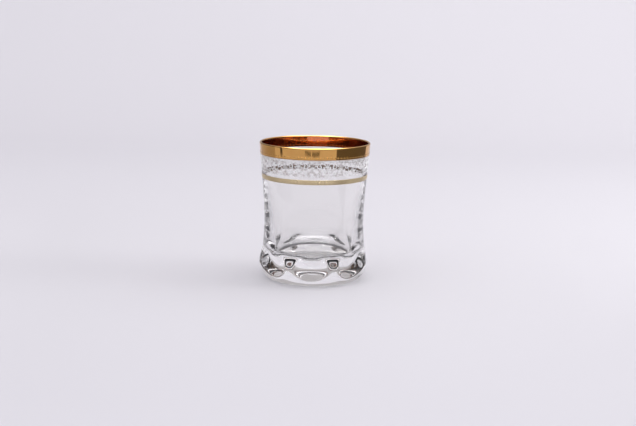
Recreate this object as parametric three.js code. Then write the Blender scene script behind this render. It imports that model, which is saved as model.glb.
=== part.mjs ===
// A lowball glass: a waisted tumbler of clear glass on a heavy, full base with eight hollow cuts,
// with a gold film round the rim and a narrow gold film under the place of its etched band.
// Units are millimetres, +Z is up, and the origin is the middle of the foot's resting plane.
import * as THREE from "three";

// Outer form of the glass
const HEIGHT = 96; // resting plane to the top of the lip
const RIM_RADIUS = 38.7; // outside, where the flare meets the top of the lip
const WAIST_RADIUS = 35; // outside, at the narrowest level
const WAIST_HEIGHT = 41.5;
const WAIST_SOFTNESS = 15.5; // the larger this is, the longer the waist's curve
const BASE_RADIUS = 38.2; // the side below the waist, carried straight down to the resting plane
const FOOT_RADIUS = 30.9; // outer edge of the resting ring
const HEEL_HEIGHT = 15; // where the rounding under the base begins
const HEEL_SQUARENESS = 1.8; // 2 is an ellipse, and less is a flatter chamfer

// Bulge of the base
const BULGE = 2.9; // how far the base swells out further at its fullest level
const BULGE_LEVEL = 12.5; // the fullest level
const BULGE_RISE = 13; // how far the bulge reaches above that level
const BULGE_FALL = 12.5; // how far it reaches below it

// Hollow cuts round the base
const CUTS = 8;
const CUT_DEPTH = 3.7; // from the uncut base to the middle of a cut's face
const CUT_LEVEL = 13.7; // height of that middle
const CUT_ACROSS = 45; // radius of a cut's face from side to side
const CUT_UPRIGHT = 100; // radius of a cut's face from top to bottom
const CUT_SOFTNESS = 0.5; // the larger this is, the rounder a cut's edge

// Inside of the glass
const FLOOR_HEIGHT = 17.3; // resting plane to the middle of the cavity's floor
const LIP_WALL = 1.4;
const FLOOR_WALL = 8.4; // wall beside the floor
const EVEN_WALL = 11; // how far down from the top the wall keeps the lip's thickness
const THICKENING = 1.6; // the larger this is, the more the wall thickens only near the floor
const CAVITY_HEEL = 5; // radius of the rounding between the floor and the wall

// Underside
const RESTING_RING = 4.6; // width of the flat ring that touches the table
const RECESS_DEPTH = 3; // how high the middle of the underside is

// Gold films
const FILM = 0.1; // thickness
const RIM_BAND = 8.1; // height of the band on the rim, with its lip
const ORNAMENT_GAP = 13.5; // clear glass for the etched ornament, from the band down to the line
const LINE_HEIGHT = 3.2;

// Fineness of the facets
const SEGMENTS = 80; // round the glass
const BULGE_STEP = 1.9; // longest step between levels on the bulge
const PLAIN_STEP = 8; // longest step between levels elsewhere
const LIP_STEPS = 4;
const CORNER_STEPS = 6;

// A level's distance from the waist, as a hyperbola: flat at the waist and straight far from it.
function bend(level) {
  return Math.hypot(level, WAIST_SOFTNESS) - WAIST_SOFTNESS;
}

// How far the glass swells out from the waist at a height.
function swell(height) {
  const level = height - WAIST_HEIGHT;
  if (level > 0) {
    return ((RIM_RADIUS - WAIST_RADIUS) * bend(level)) / bend(HEIGHT - WAIST_HEIGHT);
  }
  return ((BASE_RADIUS - WAIST_RADIUS) * bend(level)) / bend(WAIST_HEIGHT);
}

// How far the rounded heel draws in at a height, down to the edge of the foot.
function heel(height) {
  const drop = Math.max(0, 1 - height / HEEL_HEIGHT);
  const reach = (1 - drop ** HEEL_SQUARENESS) ** (1 / HEEL_SQUARENESS);
  return (BASE_RADIUS - FOOT_RADIUS) * (1 - reach);
}

// How far the bulge stands out at a height.
function bulge(height) {
  const level = height - BULGE_LEVEL;
  const share = Math.min(1, Math.abs(level) / (level > 0 ? BULGE_RISE : BULGE_FALL));
  return (BULGE * (1 + Math.cos(Math.PI * share))) / 2;
}

// Outer radius of the uncut glass at a height.
function uncutRadius(height) {
  return WAIST_RADIUS + swell(height) - heel(height) + bulge(height);
}

const cutReach = uncutRadius(CUT_LEVEL) - CUT_DEPTH;

// Outer radius of the glass at a height and an angle. The middle of one cut faces -Y.
function outerRadius(height, angle) {
  const uncut = uncutRadius(height);
  const pitch = (2 * Math.PI) / CUTS;
  const turned = angle + Math.PI / 2;
  const fromCut = turned - pitch * Math.round(turned / pitch);
  const across = uncut * Math.sin(fromCut);
  const above = height - CUT_LEVEL;
  const hollow = across ** 2 / (2 * CUT_ACROSS) + above ** 2 / (2 * CUT_UPRIGHT);
  const face = (cutReach + hollow) / Math.cos(fromCut);
  return uncut - CUT_SOFTNESS * Math.log1p(Math.exp((uncut - face) / CUT_SOFTNESS));
}

// Thickness of the wall at a height, from the lip down to the level of the floor.
function wall(height) {
  const evenFrom = HEIGHT - EVEN_WALL;
  const share = Math.max(0, (evenFrom - height) / (evenFrom - FLOOR_HEIGHT));
  return LIP_WALL + (FLOOR_WALL - LIP_WALL) * share ** THICKENING;
}

// Radius of the cavity's round wall at a height.
function cavityRadius(height) {
  return WAIST_RADIUS + swell(height) - wall(height);
}

// Levels from one height to another, both included, with no step longer than the one given.
function levels(from, to, step) {
  const count = Math.ceil(Math.abs(to - from) / step);
  return Array.from({ length: count + 1 }, (_, i) => from + ((to - from) * i) / count);
}

// A ring of the glass is a height and a radius at each angle.
function plainRing(height, radius) {
  return { height, radiusAt: () => radius };
}

function outerRing(height) {
  return { height, radiusAt: (angle) => outerRadius(height, angle) };
}

// The lip is a half round between the outer side and the cavity.
const lipRound = LIP_WALL / 2;
const lipFoot = HEIGHT - lipRound;
const lipMiddle = outerRadius(lipFoot, 0) - lipRound;

// Rings over the lip, from its outer side to its inner side, at a distance from its middle.
function lipRings(distance) {
  return levels(0, Math.PI, Math.PI / LIP_STEPS).map((turn) =>
    plainRing(lipFoot + distance * Math.sin(turn), lipMiddle + distance * Math.cos(turn)),
  );
}

// Heights on the outer side. The films' edges are among them, so that film and glass meet exactly.
const bandLow = HEIGHT - RIM_BAND;
const lineHigh = bandLow - ORNAMENT_GAP;
const lineLow = lineHigh - LINE_HEIGHT;
const bulgeTop = BULGE_LEVEL + BULGE_RISE;
const lineHeights = levels(lineLow, lineHigh, PLAIN_STEP);
const bandHeights = levels(bandLow, lipFoot, PLAIN_STEP);
const sideHeights = [
  ...levels(0, bulgeTop, BULGE_STEP),
  ...levels(bulgeTop, lineLow, PLAIN_STEP).slice(1),
  ...lineHeights.slice(1),
  ...levels(lineHigh, bandLow, PLAIN_STEP).slice(1),
  ...bandHeights.slice(1),
];

// The recess under the glass, from its middle out to the resting ring.
function recessRings() {
  const edge = FOOT_RADIUS - RESTING_RING;
  return levels(0, 1, 1 / CORNER_STEPS).map((share) =>
    plainRing(RECESS_DEPTH * (1 - share ** 2), share * edge),
  );
}

// The cavity from the lip down its wall, round its heel and across its floor to the middle.
function cavityRings() {
  const heelTop = FLOOR_HEIGHT + CAVITY_HEEL;
  const corner = cavityRadius(heelTop) - CAVITY_HEEL;
  const side = levels(lipFoot, heelTop, PLAIN_STEP).slice(1);
  const turns = levels(0, Math.PI / 2, Math.PI / 2 / CORNER_STEPS).slice(1);
  return [
    ...side.map((height) => plainRing(height, cavityRadius(height))),
    ...turns.map((turn) =>
      plainRing(heelTop - CAVITY_HEEL * Math.sin(turn), corner + CAVITY_HEEL * Math.cos(turn)),
    ),
    plainRing(FLOOR_HEIGHT, corner / 2),
    plainRing(FLOOR_HEIGHT, 0),
  ];
}

// A surface through the rings in order, facing away from the axis where they climb.
// It starts and ends on the axis, or else it closes from the last ring to the first.
function throughRings(rings) {
  const points = [];
  const rows = rings.map((ring) => {
    const onAxis = ring.radiusAt(0) === 0;
    return Array.from({ length: SEGMENTS }, (_, i) => {
      if (onAxis && i > 0) {
        return points.length / 3 - 1;
      }
      const angle = (2 * Math.PI * i) / SEGMENTS;
      const radius = ring.radiusAt(angle);
      points.push(radius * Math.cos(angle), radius * Math.sin(angle), ring.height);
      return points.length / 3 - 1;
    });
  });
  const closes = rings[0].radiusAt(0) > 0;
  const faces = [];
  rows.forEach((row, r) => {
    if (r === rows.length - 1 && !closes) {
      return;
    }
    const next = rows[(r + 1) % rows.length];
    row.forEach((here, i) => {
      const beside = row[(i + 1) % SEGMENTS];
      const above = next[i];
      const across = next[(i + 1) % SEGMENTS];
      if (here !== beside) {
        faces.push(here, beside, across);
      }
      if (above !== across) {
        faces.push(here, across, above);
      }
    });
  });
  const geometry = new THREE.BufferGeometry();
  geometry.setAttribute("position", new THREE.Float32BufferAttribute(points, 3));
  geometry.setIndex(faces);
  geometry.computeVertexNormals();
  return geometry;
}

// The glass: underside, outer side, lip and cavity as one closed surface.
function glassGeometry() {
  const lip = lipRings(lipRound).slice(1);
  return throughRings([...recessRings(), ...sideHeights.map(outerRing), ...lip, ...cavityRings()]);
}

// A film on the outer side between two heights: its outer face going up, then its face on the glass.
function filmRings(heights) {
  const raised = heights.map((height) => plainRing(height, outerRadius(height, 0) + FILM));
  return { raised, seated: heights.map(outerRing).reverse() };
}

function lineGeometry() {
  const { raised, seated } = filmRings(lineHeights);
  return throughRings([...raised, ...seated]);
}

// The rim's film goes up the outer side and over the lip to its inner edge.
function bandGeometry() {
  const { raised, seated } = filmRings(bandHeights);
  const over = lipRings(lipRound + FILM).slice(1);
  const under = lipRings(lipRound).reverse().slice(0, -1);
  return throughRings([...raised, ...over, ...under, ...seated]);
}

const clearGlass = new THREE.MeshStandardMaterial({
  color: 0xe9eeee,
  roughness: 0.02,
  metalness: 0,
  transparent: true,
  opacity: 0.3,
});

function firedGold() {
  return new THREE.MeshStandardMaterial({ color: 0xcf9a5c, roughness: 0.2, metalness: 1 });
}

function piece(name, geometry, material) {
  const mesh = new THREE.Mesh(geometry, material);
  mesh.name = name;
  return mesh;
}

const glass = new THREE.Group();
glass.add(piece("glass_body", glassGeometry(), clearGlass));
glass.add(piece("gold_rim_band", bandGeometry(), firedGold()));
glass.add(piece("gold_bead_line", lineGeometry(), firedGold()));

export default glass;
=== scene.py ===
"""The looks of a lowball glass: clear cut glass, an etched ornament band and two fired gold films."""
import math

import bpy
import numpy as np
from mathutils import Matrix, Vector


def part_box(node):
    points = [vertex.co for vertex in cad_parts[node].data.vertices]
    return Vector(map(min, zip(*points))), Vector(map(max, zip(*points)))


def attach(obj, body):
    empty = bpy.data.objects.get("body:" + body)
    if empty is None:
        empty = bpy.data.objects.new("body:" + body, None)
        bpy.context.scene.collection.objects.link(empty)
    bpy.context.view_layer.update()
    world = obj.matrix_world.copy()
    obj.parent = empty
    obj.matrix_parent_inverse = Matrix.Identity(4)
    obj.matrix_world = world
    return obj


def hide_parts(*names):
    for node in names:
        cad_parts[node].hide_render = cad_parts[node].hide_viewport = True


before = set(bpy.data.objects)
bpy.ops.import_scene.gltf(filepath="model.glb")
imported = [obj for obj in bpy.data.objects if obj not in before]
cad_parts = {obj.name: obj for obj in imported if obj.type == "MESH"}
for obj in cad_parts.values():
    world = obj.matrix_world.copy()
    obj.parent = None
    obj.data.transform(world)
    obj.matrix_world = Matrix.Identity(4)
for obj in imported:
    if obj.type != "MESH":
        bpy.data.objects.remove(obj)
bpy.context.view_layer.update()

MM = 0.001

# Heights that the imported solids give, in millimetres
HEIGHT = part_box("glass_body")[1].z / MM
BAND_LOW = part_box("gold_rim_band")[0].z / MM
LINE_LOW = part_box("gold_bead_line")[0].z / MM
LINE_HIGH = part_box("gold_bead_line")[1].z / MM

# Outer form of the glass, in millimetres, as its solid has it
RIM_RADIUS = 38.7
WAIST_RADIUS = 35.0
WAIST_HEIGHT = 41.5
WAIST_SOFTNESS = 15.5  # the larger this is, the longer the waist's curve
BASE_RADIUS = 38.2
FOOT_RADIUS = 30.9
HEEL_HEIGHT = 15.0  # where the rounding under the base begins
HEEL_SQUARENESS = 1.8
BULGE = 2.9  # how far the base swells out further
BULGE_LEVEL = 12.5
BULGE_RISE = 13.0
BULGE_FALL = 12.5

# Hollow cuts round the base
CUTS = 8
CUT_DEPTH = 3.7
CUT_LEVEL = 13.7
CUT_ACROSS = 45.0  # radius of a cut's face from side to side
CUT_UPRIGHT = 100.0  # and from top to bottom
CUT_SOFTNESS = 0.5

# Inside and underside of the glass
FLOOR_HEIGHT = 17.3
LIP_WALL = 1.4
FLOOR_WALL = 8.4
EVEN_WALL = 11.0  # how far down from the top the wall keeps the lip's thickness
THICKENING = 1.6  # the larger this is, the more the wall thickens only near the floor
CAVITY_HEEL = 5.0
RESTING_RING = 4.6
RECESS_DEPTH = 3.0

# Gold films
FILM = 0.099  # a hair under the solid's
FILM_SUNK = 0.02  # how far a film's face lies in the glass, so that light meets the gold first
EDGE_RISE = 0.09  # low ridge along a film's edge
EDGE_WIDE = 0.4
BEADS = 96
BEAD_RISE = 0.14
BEAD_DENT = 0.1  # how deep the beads show in the film's face on the glass
BEAD_LONG = 1.9
BEAD_TALL = 1.1
LINE_BEADS = 1.5  # level of the bead row over the line's lower edge
BAND_BEADS = 1.4  # and over the band's

# Etched lace between the gold line and the rim band
LACE_LOW = LINE_HIGH + 2.2
LACE_HIGH = BAND_LOW - 0.9
LACE_TALL = LACE_HIGH - LACE_LOW
LACE_REPEATS = 12
LACE_BOLDNESS = 1.35  # how much wider every stroke is than it is drawn
LACE_RISE = 0.07
LACE_SUNK = 0.03
SCALLOPS = 8  # along the lace's lower edge, in each repeat

# Fineness: points round the glass, and the step between rings on each stretch of it
SEGMENTS = 384
RECESS_RINGS = 20
HEEL_RINGS = 40
BULGE_STEP = 0.4
SIDE_STEP = 1.5
ETCHED_STEP = 0.5
BAND_STEP = 1.0
CAVITY_STEP = 1.8
CORNER_RINGS = 30
FLOOR_STEP = 2.5
LIP_RINGS = 14
FILM_STEP = 0.5
EDGE_STEP = 0.08  # on a film's edge ridge and on the line
EDGE_ZONE = 0.48  # stretch with that step at the band's edge
BEAD_SIDES = 14
BEAD_RINGS = 8

# Optical strength of the glass
GLASS_IOR = 1.52

# Studio, in metres: a soft light all round, softboxes, and dark uprights beside the glass
ROOM_COLOUR = (0.97, 0.95, 1.0)
ROOM_LIGHT = 1.09  # at the horizon
ROOM_FALL = 0.24  # how much dimmer it is overhead
TOP_PLACE = (0.0, -0.05, 1.0)
TOP_SIZE = (1.1, 1.1)
LIGHTS = [  # name, place, height of its aim over the foot, size, power, rays that pass it by
    ("key_light", (0.9, 0.5, 1.1), 0.05, (0.9, 0.9), 2.5, ()),
    ("side_light", (1.0, -0.05, 0.34), 0.03, (0.4, 0.3), 3.0, ()),
    ("fill_light", (-0.9, -0.6, 1.0), 0.05, (0.8, 0.8), 1.0, ()),
    ("top_light", TOP_PLACE, 0.05, TOP_SIZE, 30.0, ("diffuse", "transmission")),  # for the gold
    ("sparkle_light", TOP_PLACE, 0.05, TOP_SIZE, 4.0, ("diffuse", "glossy")),  # for the clear glass
]
CARDS = [  # name, one end and the other on the floor, lower and upper edge, grey
    ("right_front_card", (0.20, -0.20), (0.20, -0.075), 0.0, 0.30, 0.14),
    ("right_card", (0.20, -0.075), (0.20, 0.15), 0.03, 0.30, 0.14),
    ("left_thin_card", (-0.325, -0.145), (-0.337, -0.115), 0.0, 0.30, 0.03),
    ("left_back_card", (-0.262, 0.228), (-0.225, 0.265), 0.02, 0.30, 0.03),
    ("left_near_card", (-0.13, -0.03), (-0.13, 0.12), 0.045, 0.095, 0.5),
    ("left_high_card", (-0.19, 0.26), (-0.32, 0.0), 0.125, 0.32, 0.03),
    ("left_far_card", (-0.32, 0.0), (-0.16, -0.277), 0.10, 0.32, 0.03),
    ("right_high_card", (0.24, 0.21), (0.32, 0.0), 0.125, 0.32, 0.03),
    ("right_far_card", (0.32, 0.0), (0.11, -0.30), 0.10, 0.32, 0.03),
    ("front_high_card", (0.11, -0.30), (-0.16, -0.277), 0.122, 0.32, 0.03),
    ("back_card", (-0.36, 0.45), (0.36, 0.45), 0.098, 0.30, 0.42),
    ("left_mark", (-0.060, -0.20), (-0.020, -0.20), 0.0395, 0.0425, 0.03),
    ("right_mark", (-0.011, -0.20), (0.040, -0.20), 0.0395, 0.0425, 0.03),
]
CARD_TINT = (1.0, 0.96, 0.93)
CLEAR_BASE = 0.025  # a card that reaches lower than this would darken the clear base

# Floor that sweeps up behind the glass, in metres
SWEEP_FRONT = -2.0
SWEEP_FLAT = 0.7  # where the floor begins to rise
SWEEP_RADIUS = 0.5
SWEEP_TOP = 1.4
SWEEP_HALF = 2.5  # half its width
SWEEP_STEPS = 24

# Camera, at the photograph's angle
IMAGE_WIDTH = 636
FOCAL_PIXELS = 1133.5
SENSOR_WIDTH = 36.0
CAMERA_DISTANCE = 0.8
CAMERA_PITCH = math.radians(10.6)
CAMERA_ROLL = math.radians(0.92)
CAMERA_TURN = math.radians(1.75)
CAMERA_AIM = Vector((0.00285, 0.0, 0.04548))
GLASS_BOUNCES = 32
GOLD_BOUNCES = 16


def bend(level):
    """A level's distance from the waist, as a hyperbola."""
    return np.hypot(level, WAIST_SOFTNESS) - WAIST_SOFTNESS


def swell(height):
    """How far the glass swells out from the waist."""
    level = height - WAIST_HEIGHT
    above = (RIM_RADIUS - WAIST_RADIUS) * bend(level) / bend(HEIGHT - WAIST_HEIGHT)
    below = (BASE_RADIUS - WAIST_RADIUS) * bend(level) / bend(WAIST_HEIGHT)
    return np.where(level > 0, above, below)


def heel(height):
    """How far the rounding under the base draws in."""
    drop = np.clip(1 - height / HEEL_HEIGHT, 0, 1)
    reach = (1 - drop ** HEEL_SQUARENESS) ** (1 / HEEL_SQUARENESS)
    return (BASE_RADIUS - FOOT_RADIUS) * (1 - reach)


def bulge(height):
    """How far the base swells out further."""
    level = height - BULGE_LEVEL
    share = np.abs(level) / np.where(level > 0, BULGE_RISE, BULGE_FALL)
    return BULGE * (1 + np.cos(math.pi * np.clip(share, 0, 1))) / 2


def uncut_radius(height):
    return WAIST_RADIUS + swell(height) - heel(height) + bulge(height)


CUT_REACH = float(uncut_radius(CUT_LEVEL)) - CUT_DEPTH


def outer_radius(height, angle):
    """The uncut base with its hollow cuts, the middle of one of them at the front."""
    uncut = uncut_radius(height)
    pitch = 2 * math.pi / CUTS
    turned = angle + math.pi / 2
    from_cut = turned - pitch * np.round(turned / pitch)
    across = uncut * np.sin(from_cut)
    above = height - CUT_LEVEL
    hollow = across ** 2 / (2 * CUT_ACROSS) + above ** 2 / (2 * CUT_UPRIGHT)
    face = (CUT_REACH + hollow) / np.cos(from_cut)
    return uncut - CUT_SOFTNESS * np.logaddexp(0, (uncut - face) / CUT_SOFTNESS)


def wall(height):
    """Thickness of the wall, even below the lip and thicker towards the floor."""
    even_from = HEIGHT - EVEN_WALL
    share = np.clip((even_from - height) / (even_from - FLOOR_HEIGHT), 0, None)
    return LIP_WALL + (FLOOR_WALL - LIP_WALL) * share ** THICKENING


def cavity_radius(height):
    return WAIST_RADIUS + swell(height) - wall(height)


ANGLES = np.arange(SEGMENTS) * 2 * math.pi / SEGMENTS
LIP_ROUND = LIP_WALL / 2
LIP_FOOT = HEIGHT - LIP_ROUND
LIP_MIDDLE = float(outer_radius(LIP_FOOT, 0.0)) - LIP_ROUND


def steps(start, end, step):
    """Levels from start to end, both included, with no step longer than the one given."""
    count = max(1, math.ceil(abs(end - start) / step))
    return np.linspace(start, end, count + 1)


def plain_rings(heights, radii):
    """Rings round the axis: each is a height and one radius for every angle."""
    return [(h, np.full(SEGMENTS, r)) for h, r in zip(heights, radii)]


def outer_rings(heights, out=0.0):
    return [(h, outer_radius(h, ANGLES) + out) for h in heights]


def lip_rings(distance):
    """Rings over the lip at a distance from its middle, from its outer side to its inner side."""
    turn = np.linspace(0, math.pi, LIP_RINGS + 1)
    return plain_rings(LIP_FOOT + distance * np.sin(turn), LIP_MIDDLE + distance * np.cos(turn))


def make_piece(name, points, faces, smooth=True):
    mesh = bpy.data.meshes.new(name)
    mesh.from_pydata(points, [], faces)
    mesh.polygons.foreach_set("use_smooth", [smooth] * len(faces))
    mesh.update()
    piece = bpy.data.objects.new(name, mesh)
    bpy.context.scene.collection.objects.link(piece)
    return piece


def faces_between(first, second, turned_over=False):
    """Faces from one closed row of points to the next. A row of one point is a tip."""
    count = max(len(first), len(second))
    faces = []
    for i in range(count):
        j = (i + 1) % count
        a, b = first[i % len(first)], first[j % len(first)]
        d, c = second[i % len(second)], second[j % len(second)]
        corners = (a, d, c, b) if turned_over else (a, b, c, d)
        faces.append(tuple(dict.fromkeys(corners)))
    return faces


def through_rings(name, rings):
    """A surface through the rings, facing away from the axis where they climb.

    It starts and ends in one point on the axis, or else it closes from the last ring to the first.
    """
    points, rows = [], []
    for height, radii in rings:
        ring = np.stack([radii * np.cos(ANGLES), radii * np.sin(ANGLES), np.full(SEGMENTS, height)], -1)
        if not radii.any():
            ring = ring[:1]
        rows.append(range(len(points), len(points) + len(ring)))
        points.extend(map(tuple, ring * MM))
    if len(rows[0]) > 1:
        rows.append(rows[0])
    faces = []
    for row, following in zip(rows, rows[1:]):
        faces += faces_between(row, following)
    return make_piece(name, points, faces)


def make_glass():
    """The tumbler: underside, outer side, lip and cavity as one closed surface."""
    recess = np.linspace(0, 1, RECESS_RINGS + 1)
    rings = plain_rings(RECESS_DEPTH * (1 - recess ** 2), recess * (FOOT_RADIUS - RESTING_RING))
    bulge_top = BULGE_LEVEL + BULGE_RISE
    rings += outer_rings(HEEL_HEIGHT * (1 - np.cos(np.linspace(0, math.pi / 2, HEEL_RINGS))))
    rings += outer_rings(steps(HEEL_HEIGHT, bulge_top, BULGE_STEP)[1:])
    rings += outer_rings(steps(bulge_top, LACE_LOW, SIDE_STEP)[1:])
    etched_from = len(rings) - 1
    rings += outer_rings(steps(LACE_LOW, LACE_HIGH, ETCHED_STEP)[1:])
    etched_to = len(rings) - 1
    rings += outer_rings(steps(LACE_HIGH, LIP_FOOT, BAND_STEP)[1:])
    rings += lip_rings(LIP_ROUND)[1:]
    heel_top = FLOOR_HEIGHT + CAVITY_HEEL
    corner = float(cavity_radius(heel_top)) - CAVITY_HEEL
    side = steps(LIP_FOOT, heel_top, CAVITY_STEP)[1:]
    rings += plain_rings(side, cavity_radius(side))
    turn = np.linspace(0, math.pi / 2, CORNER_RINGS + 1)[1:]
    rings += plain_rings(heel_top - CAVITY_HEEL * np.sin(turn), corner + CAVITY_HEEL * np.cos(turn))
    across = steps(corner, 0, FLOOR_STEP)[1:]
    rings += plain_rings(np.full(len(across), FLOOR_HEIGHT), across)
    tumbler = through_rings("clear_tumbler", rings)
    band_of_face = np.arange(len(tumbler.data.polygons)) // SEGMENTS
    etched = (band_of_face >= etched_from) & (band_of_face < etched_to)
    dress(tumbler, etched, clear_glass(), etched_ground())
    return tumbler


def edge_relief(height, edges):
    """Height of the low half-round ridges along a film's edges."""
    nearest = min(abs(height - edge) for edge in edges)
    if nearest >= EDGE_WIDE:
        return 0.0
    return EDGE_RISE * math.sqrt(max(0.0, 1 - (2 * nearest / EDGE_WIDE - 1) ** 2))


def film_sides(heights, edges):
    """A film on the outer side: its outer face going up, then its face on the glass."""
    raised = [(h, outer_radius(h, ANGLES) + FILM + edge_relief(h, edges)) for h in heights]
    return raised, outer_rings(heights[::-1], -FILM_SUNK)


def make_line():
    raised, seated = film_sides(steps(LINE_LOW, LINE_HIGH, EDGE_STEP), (LINE_LOW, LINE_HIGH))
    return through_rings("gold_line", raised + seated)


def make_band():
    """The rim's film goes up the outer side and over the lip."""
    edge_top = BAND_LOW + EDGE_ZONE
    edge = steps(BAND_LOW, edge_top, EDGE_STEP)
    raised, seated = film_sides(np.concatenate([edge, steps(edge_top, LIP_FOOT, FILM_STEP)[1:]]), (BAND_LOW,))
    over = lip_rings(LIP_ROUND + FILM)[1:]
    under = lip_rings(LIP_ROUND - FILM_SUNK)[::-1][:-1]
    return through_rings("gold_band", raised + over + under + seated)


def make_beads(name, level):
    """A row of oval beads round a film, and for each of their faces whether it is turned to the glass."""
    tilts = np.linspace(0, math.pi, BEAD_RINGS + 1)
    turns = np.linspace(0, 2 * math.pi, BEAD_SIDES, endpoint=False)
    points, faces, inner = [], [], []
    for k in range(BEADS):
        middle = 2 * math.pi * k / BEADS
        rows = []
        for tilt in tilts:
            is_tip = tilt in (tilts[0], tilts[-1])
            reach = 0.0 if is_tip else math.sin(tilt)
            lift = math.cos(tilt) * (FILM + BEAD_RISE if tilt < math.pi / 2 else BEAD_DENT)
            rows.append(range(len(points), len(points) + (1 if is_tip else BEAD_SIDES)))
            for turn in turns[:len(rows[-1])]:
                height = level + reach * BEAD_TALL / 2 * math.sin(turn)
                radius = float(outer_radius(height, middle)) + lift
                angle = middle + reach * BEAD_LONG / 2 * math.cos(turn) / radius
                points.append((radius * math.cos(angle) * MM, radius * math.sin(angle) * MM, height * MM))
        for tilt, row, deeper in zip(tilts[1:], rows, rows[1:]):
            faces += faces_between(row, deeper, turned_over=True)
            inner += [tilt > math.pi / 2] * BEAD_SIDES
    return make_piece(name, points, faces), inner


# The etched lace, drawn on the flat in millimetres: x runs round the glass, y up from the lace's lower edge
REPEAT = 2 * math.pi * float(outer_radius((LACE_LOW + LACE_HIGH) / 2, 0.0)) / LACE_REPEATS
MIDDLE = REPEAT / 2


def stroke(points, wide, tip=0.12):
    """A drawn stroke: its points, and a width that swells from tip to wide and back."""
    points = np.asarray(points, float)
    along = np.linspace(0, math.pi, len(points))
    return points, (tip + (wide - tip) * np.sin(along)) * LACE_BOLDNESS


def bow(start, end, depth, count=12):
    """A curve from start to end that bulges to its left by depth."""
    start, end = np.asarray(start, float), np.asarray(end, float)
    across = end - start
    side = np.array([-across[1], across[0]]) / np.hypot(*across)
    share = np.linspace(0, 1, count + 1)[:, None]
    return start + across * share + side * depth * 4 * share * (1 - share)


def curl(centre, wide, tight, start, sweep, count=26):
    """A spiral that winds in round its centre from radius wide to radius tight."""
    share = np.linspace(0, 1, count + 1)
    radius = wide + (tight - wide) * share
    turn = start + sweep * share
    return np.stack([centre[0] + radius * np.cos(turn), centre[1] + radius * np.sin(turn)], -1)


def scroll(stem, spiral, wide, tip=0.12):
    """A bowed stem that runs on into a spiral, as one stroke."""
    return stroke(np.concatenate([stem, spiral[1:]]), wide, tip)


def fan(root, aim, spread, count, long, wide):
    """Leaves that spread from one root."""
    leaves = []
    for k in range(count):
        lean = (k - (count - 1) / 2) * spread
        turn = aim + lean
        reach = long * math.cos(lean * 0.7)
        tip = (root[0] + reach * math.cos(turn), root[1] + reach * math.sin(turn))
        leaves.append(stroke(bow(root, tip, 0.25 * math.sin(lean), 6), wide, 0.05))
    return leaves


def rosette(centre, petals, long):
    """A ring with petals round it, each drawn by its two sides."""
    flower = [stroke(curl(centre, 0.42, 0.42, 0, 2 * math.pi, 12), 0.2, 0.2)]
    for k in range(petals):
        turn = 2 * math.pi * (k + 0.5) / petals
        near = (centre[0] + 0.62 * math.cos(turn), centre[1] + 0.62 * math.sin(turn))
        far = (centre[0] + long * math.cos(turn), centre[1] + long * math.sin(turn))
        flower += [stroke(bow(near, far, side * 0.42, 7), 0.22, 0.1) for side in (-1, 1)]
    return flower


def half_repeat():
    """The right half of one repeat, from its middle to the rosette at its end."""
    drawn = [
        scroll(bow((MIDDLE, 1.5), (MIDDLE + 4.4, 8.9), -1.5, 14),
               curl((MIDDLE + 5.0, 7.0), 2.0, 0.4, 1.75, -8.2, 34), 0.5, 0.16),
        scroll(bow((MIDDLE + 2.9, 4.3), (MIDDLE + 4.3, 1.7), 0.5, 8),
               curl((MIDDLE + 5.2, 2.5), 1.2, 0.25, 3.9, 7.0, 24), 0.4, 0.14),
        stroke(bow((MIDDLE + 0.3, 5.4), (MIDDLE + 2.1, 8.6), 0.5, 8), 0.34),
        scroll(bow((MIDDLE, 9.9), (MIDDLE + 1.6, 9.4), 0.3, 5),
               curl((MIDDLE + 1.7, 8.8), 0.6, 0.15, 1.5, -5.0, 14), 0.26),
        stroke(bow((MIDDLE + 6.9, 4.2), (REPEAT - 2.3, 4.9), -0.5, 8), 0.3),
        stroke(bow((MIDDLE + 6.5, 8.9), (REPEAT, 9.6), -0.5, 10), 0.28),
        stroke(bow((MIDDLE + 6.3, 1.7), (REPEAT, 1.9), 0.5, 10), 0.28),
    ]
    drawn += fan((MIDDLE + 1.1, 3.2), 0.35, 0.45, 3, 1.6, 0.42)
    drawn += fan((MIDDLE + 2.6, 6.2), 2.45, 0.5, 3, 1.3, 0.36)
    drawn += fan((MIDDLE + 7.1, 7.4), 0.2, 0.55, 3, 1.5, 0.36)
    drawn += fan((MIDDLE + 6.4, 5.0), -0.3, 0.6, 3, 1.2, 0.32)
    drawn += fan((MIDDLE + 3.6, 9.3), 1.2, 0.6, 2, 0.9, 0.3)
    return drawn


def mirrored(drawn):
    """A stroke in the mirror of the repeat's middle."""
    points, widths = drawn
    return np.stack([REPEAT - points[:, 0], points[:, 1]], -1)[::-1], widths[::-1]


def lace_repeat():
    half = half_repeat()
    drawn = half + [mirrored(one) for one in half]
    drawn += fan((MIDDLE, 6.3), math.pi / 2, 0.5, 5, 2.7, 0.46)
    drawn += rosette((MIDDLE, 4.3), 6, 1.35)
    drawn += rosette((0.0, 5.3), 8, 2.1)
    for k in range(SCALLOPS):
        start, end = REPEAT * k / SCALLOPS, REPEAT * (k + 1) / SCALLOPS
        drawn.append(stroke(bow((start, 0.9), (end, 0.9), -0.75, 6), 0.2, 0.2))
        drawn.append(stroke([(start, 1.15), (start, 1.35), (start, 1.55)], 0.42, 0.2))
    top = LACE_TALL - 0.35
    drawn.append(stroke(bow((0, top), (REPEAT, top), 0, 24), 0.22, 0.22))
    return drawn


def laid_on_glass(flat, lift):
    """Points of the flat drawing, laid round the glass and lifted off it."""
    height = LACE_LOW + flat[:, 1]
    angle = flat[:, 0] / REPEAT * 2 * math.pi / LACE_REPEATS
    radius = outer_radius(height, angle) + lift
    return np.stack([radius * np.cos(angle), radius * np.sin(angle), height], -1) * MM


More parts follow.
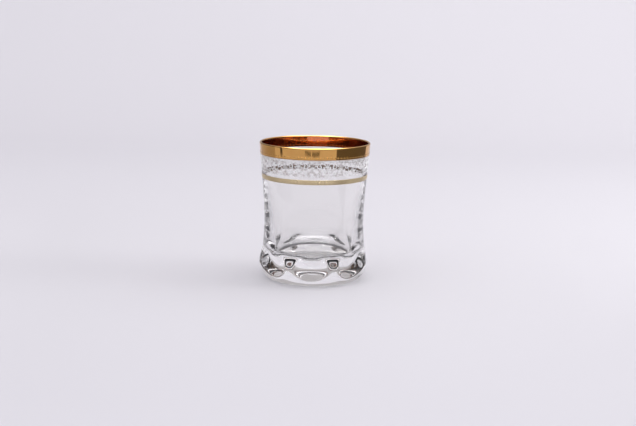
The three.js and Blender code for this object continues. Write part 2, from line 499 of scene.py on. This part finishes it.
def make_lace():
    """Every stroke is a low ridge on the outer side of the glass, its foot just under the surface."""
    drawn = lace_repeat()
    points, faces = [], []
    for k in range(LACE_REPEATS):
        for flat, widths in drawn:
            flat = flat + (k * REPEAT, 0.0)
            along = np.gradient(flat, axis=0)
            along /= np.hypot(along[:, 0], along[:, 1])[:, None]
            side = np.stack([-along[:, 1], along[:, 0]], -1) * widths[:, None] / 2
            sections = [(flat + side, -LACE_SUNK), (flat, LACE_RISE), (flat - side, -LACE_SUNK)]
            count = len(flat)
            left, crown, right = (np.arange(count) + len(points) + row * count for row in range(3))
            for line, lift in sections:
                points.extend(map(tuple, laid_on_glass(line, lift)))
            for near, far in ((left, crown), (crown, right), (right, left)):
                faces += zip(near[:-1], near[1:], far[1:], far[:-1])
            faces += [(left[0], crown[0], right[0]), (right[-1], crown[-1], left[-1])]
    lace = make_piece("etched_lace", points, faces, smooth=False)
    lace.data.materials.append(etched_white())
    return lace


class Value:
    """A number that a node gives, so that shader maths reads as plain expressions."""

    def __init__(self, nodes, socket):
        self.nodes = nodes
        self.socket = socket

    def _math(self, operation, a, b):
        return self.nodes.node("ShaderNodeMath", {"operation": operation}, {0: a, 1: b})

    def __add__(self, other):
        return self._math("ADD", self, other)

    __radd__ = __add__

    def __sub__(self, other):
        return self._math("SUBTRACT", self, other)

    def __rsub__(self, other):
        return self._math("SUBTRACT", other, self)

    def __mul__(self, other):
        return self._math("MULTIPLY", self, other)

    __rmul__ = __mul__


class Nodes:
    """A node tree under construction."""

    def __init__(self, tree):
        self.tree = tree
        self.tree.nodes.clear()

    def node(self, kind, settings=None, inputs=None, output=0):
        """Add a node and give one of its outputs, if it has any."""
        made = self.tree.nodes.new(kind)
        for key, setting in (settings or {}).items():
            setattr(made, key, setting)
        for key, value in (inputs or {}).items():
            if isinstance(value, Value):
                self.tree.links.new(value.socket, made.inputs[key])
            else:
                made.inputs[key].default_value = value
        return Value(self, made.outputs[output]) if made.outputs else None


class Finish(Nodes):
    """A material under construction."""

    def __init__(self, name):
        self.material = bpy.data.materials.new(name)
        self.material.use_nodes = True
        super().__init__(self.material.node_tree)

    def position(self):
        return self.node("ShaderNodeTexCoord", output="Object")

    def noise(self, scale, detail=3.0):
        inputs = {"Vector": self.position(), "Scale": scale, "Detail": detail}
        return self.node("ShaderNodeTexNoise", {}, inputs, "Fac")

    def mix(self, share, first, second):
        inputs = {"Factor": share, 6: (*first, 1.0), 7: (*second, 1.0)}
        return self.node("ShaderNodeMix", {"data_type": "RGBA"}, inputs, 2)

    def bump(self, height, distance):
        return self.node("ShaderNodeBump", {}, {"Height": height, "Distance": distance, "Strength": 1.0})

    def surface(self, inputs):
        shader = self.node("ShaderNodeBsdfPrincipled", {}, inputs)
        self.node("ShaderNodeOutputMaterial", {}, {"Surface": shader})
        return self.material


def clear_glass():
    """Polished glass with the faint ripple of a pressed piece."""
    f = Finish("clear_glass")
    cloud = f.noise(60.0)
    ripple = f.noise(90.0, 1.0)
    return f.surface({
        "Base Color": f.mix(cloud, (0.965, 0.962, 0.955), (0.945, 0.943, 0.938)),
        "Roughness": cloud * 0.02,
        "Transmission Weight": 1.0,
        "IOR": GLASS_IOR,
        "Normal": f.bump(ripple, 0.00002),
    })


def etched_ground():
    """The same glass, dulled by the acid between the strokes."""
    f = Finish("etched_ground")
    pits = {"Vector": f.position(), "Scale": 430.0}
    cells = f.node("ShaderNodeTexVoronoi", {"feature": "F1"}, pits, "Distance")
    cloud = f.noise(700.0, 4.0)
    return f.surface({
        "Base Color": f.mix(cells * 2.6 - 1.0, (1.0, 1.0, 1.0), (0.52, 0.46, 0.43)),
        "Roughness": 0.02 + cells * 0.06 + cloud * 0.05,
        "Transmission Weight": 1.0,
        "IOR": GLASS_IOR,
        "Normal": f.bump(cells, 0.00004),
    })


def etched_white():
    """The frosted white of the lace's strokes."""
    f = Finish("etched_white")
    cloud = f.noise(1500.0, 4.0)
    return f.surface({
        "Base Color": f.mix(cloud, (1.0, 1.0, 1.0), (0.93, 0.93, 0.935)),
        "Roughness": 0.42 + cloud * 0.2,
        "Transmission Weight": 0.25,
        "IOR": GLASS_IOR,
        "Normal": f.bump(cloud, 0.00003),
    })


def outer_gold():
    """The rim's polished gold."""
    f = Finish("outer_gold")
    cloud = f.noise(220.0)
    fine = f.noise(2500.0)
    return f.surface({
        "Base Color": f.mix(cloud, (0.72, 0.41, 0.13), (0.62, 0.33, 0.10)),
        "Metallic": 1.0,
        "Roughness": 0.03 + cloud * 0.06,
        "Normal": f.bump(fine, 0.000004),
    })


def copper_underside():
    """The rim's film from below, as it shows through the glass."""
    f = Finish("copper_underside")
    cloud = f.noise(260.0)
    return f.surface({
        "Base Color": f.mix(cloud, (0.66, 0.19, 0.05), (0.50, 0.12, 0.03)),
        "Metallic": 1.0,
        "Roughness": 0.04 + cloud * 0.08,
    })


def line_gold():
    """The narrow line is paler and duller than the band."""
    f = Finish("line_gold")
    cloud = f.noise(260.0)
    fine = f.noise(2500.0)
    return f.surface({
        "Base Color": f.mix(cloud, (0.65, 0.54, 0.34), (0.56, 0.44, 0.26)),
        "Metallic": 1.0,
        "Roughness": 0.22 + cloud * 0.14,
        "Normal": f.bump(fine, 0.000006),
    })


def line_underside():
    """The line's film from below, a dark brown."""
    f = Finish("line_underside")
    cloud = f.noise(700.0)
    return f.surface({
        "Base Color": f.mix(cloud, (0.30, 0.19, 0.11), (0.11, 0.06, 0.03)),
        "Metallic": 1.0,
        "Roughness": 0.25 + cloud * 0.15,
    })


def pale_floor_painted_shade():
    """Pale paper with painted shade: drawn darker in front of the glass than behind it, standing in for the
    dimmer light there.
    """
    f = Finish("pale_floor_painted_shade")
    depth = f.node("ShaderNodeSeparateXYZ", {}, {"Vector": f.position()}, "Y")
    return f.surface({
        # painted shade: the colour darkens towards the front, along y
        "Base Color": f.mix(depth * 3.0 + 0.8, (0.70, 0.69, 0.72), (0.752, 0.742, 0.768)),
        "Roughness": 0.6,
        "Specular IOR Level": 0.2,
    })


def card_grey(name, grey):
    colour = [grey * tint for tint in CARD_TINT]
    return Finish(name).surface({"Base Color": (*colour, 1.0), "Roughness": 0.9})


def dress(piece, marked, plain_finish, marked_finish):
    """Give a piece two finishes, the second on its marked faces."""
    piece.data.materials.append(plain_finish)
    piece.data.materials.append(marked_finish)
    piece.data.polygons.foreach_set("material_index", np.asarray(marked).astype(np.int32))


def on_glass(film):
    """For each face of a film whether it is turned to the glass."""
    turned = []
    for face in film.data.polygons:
        middle = face.center / MM
        across = math.hypot(middle.x, middle.y)
        if middle.z > LIP_FOOT:
            depth = math.hypot(across - LIP_MIDDLE, middle.z - LIP_FOOT) - LIP_ROUND
        else:
            depth = across - float(outer_radius(middle.z, 0.0))
        turned.append(depth < FILM / 2)
    return turned


def put_in(piece, replaced=None):
    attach(piece, "root")
    if replaced:
        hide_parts(replaced)


def fire_on(film, node, finishes, beads_name, beads_level):
    """Dress a film and its row of beads, and put both in the place of the solid's film."""
    dress(film, on_glass(film), *finishes)
    put_in(film, node)
    beads, inner = make_beads(beads_name, beads_level)
    dress(beads, inner, *finishes)
    put_in(beads)


def make_sweep():
    """The floor, which sweeps up behind the glass."""
    profile = [(SWEEP_FRONT, 0.0)]
    for turn in np.linspace(0, math.pi / 2, SWEEP_STEPS + 1):
        profile.append((SWEEP_FLAT + SWEEP_RADIUS * math.sin(turn), SWEEP_RADIUS * (1 - math.cos(turn))))
    profile.append((SWEEP_FLAT + SWEEP_RADIUS, SWEEP_TOP))
    points = [(x, y, z) for y, z in profile for x in (-SWEEP_HALF, SWEEP_HALF)]
    faces = [(2 * k, 2 * k + 1, 2 * k + 3, 2 * k + 2) for k in range(len(profile) - 1)]
    sweep = make_piece("studio_sweep", points, faces)
    sweep.data.materials.append(pale_floor_painted_shade())
    return sweep


def make_card(name, near, far, low, high, grey):
    """An upright card that only the gold and the glass show."""
    corners = [(*near, low), (*far, low), (*far, high), (*near, high)]
    card = make_piece(name, corners, [(0, 1, 2, 3)], smooth=False)
    card.data.materials.append(card_grey(name, grey))
    card.visible_camera = False
    card.visible_diffuse = False
    card.visible_shadow = False
    card.visible_transmission = low > CLEAR_BASE
    return card


def make_light(name, spot, aim_height, size, power, passed_by):
    light = bpy.data.lights.new(name, "AREA")
    light.shape = "RECTANGLE"
    light.size, light.size_y = size
    light.energy = power
    lamp = bpy.data.objects.new(name, light)
    lamp.location = spot
    lamp.rotation_mode = "QUATERNION"
    lamp.rotation_quaternion = (Vector((0, 0, aim_height)) - Vector(spot)).to_track_quat("-Z", "Y")
    lamp.visible_diffuse = "diffuse" not in passed_by
    lamp.visible_glossy = "glossy" not in passed_by
    lamp.visible_transmission = "transmission" not in passed_by
    bpy.context.scene.collection.objects.link(lamp)


def make_room():
    """Soft light all round, a little dimmer overhead."""
    world = bpy.data.worlds.new("studio_light")
    world.use_nodes = True
    room = Nodes(world.node_tree)
    direction = room.node("ShaderNodeTexCoord", output="Generated")
    up = room.node("ShaderNodeSeparateXYZ", {}, {"Vector": direction}, "Z")
    glow = {"Color": (*ROOM_COLOUR, 1.0), "Strength": ROOM_LIGHT - ROOM_FALL * up}
    room.node("ShaderNodeOutputWorld", {}, {"Surface": room.node("ShaderNodeBackground", {}, glow)})
    return world


def make_camera():
    lens = bpy.data.cameras.new("photo_camera")
    lens.sensor_width = SENSOR_WIDTH
    lens.lens = FOCAL_PIXELS / IMAGE_WIDTH * SENSOR_WIDTH
    camera = bpy.data.objects.new("photo_camera", lens)
    aim = Matrix.Rotation(CAMERA_TURN, 4, "Z") @ Matrix.Translation(CAMERA_AIM)
    tilt = Matrix.Rotation(math.pi / 2 - CAMERA_PITCH, 4, "X")
    back = Matrix.Translation((0, 0, CAMERA_DISTANCE))
    camera.matrix_world = aim @ tilt @ back @ Matrix.Rotation(CAMERA_ROLL, 4, "Z")
    bpy.context.scene.collection.objects.link(camera)
    return camera


put_in(make_glass(), "glass_body")
put_in(make_lace())
line_finishes = line_gold(), line_underside()
fire_on(make_line(), "gold_bead_line", line_finishes, "gold_line_beads", LINE_LOW + LINE_BEADS)
band_finishes = outer_gold(), copper_underside()
fire_on(make_band(), "gold_rim_band", band_finishes, "gold_band_beads", BAND_LOW + BAND_BEADS)

make_sweep()
for row in CARDS:
    make_card(*row)
for row in LIGHTS:
    make_light(*row)

scene = bpy.context.scene
scene.world = make_room()
scene.camera = make_camera()
scene.view_settings.view_transform = "Standard"
scene.cycles.max_bounces = GLASS_BOUNCES
scene.cycles.transmission_bounces = GLASS_BOUNCES
scene.cycles.glossy_bounces = GOLD_BOUNCES
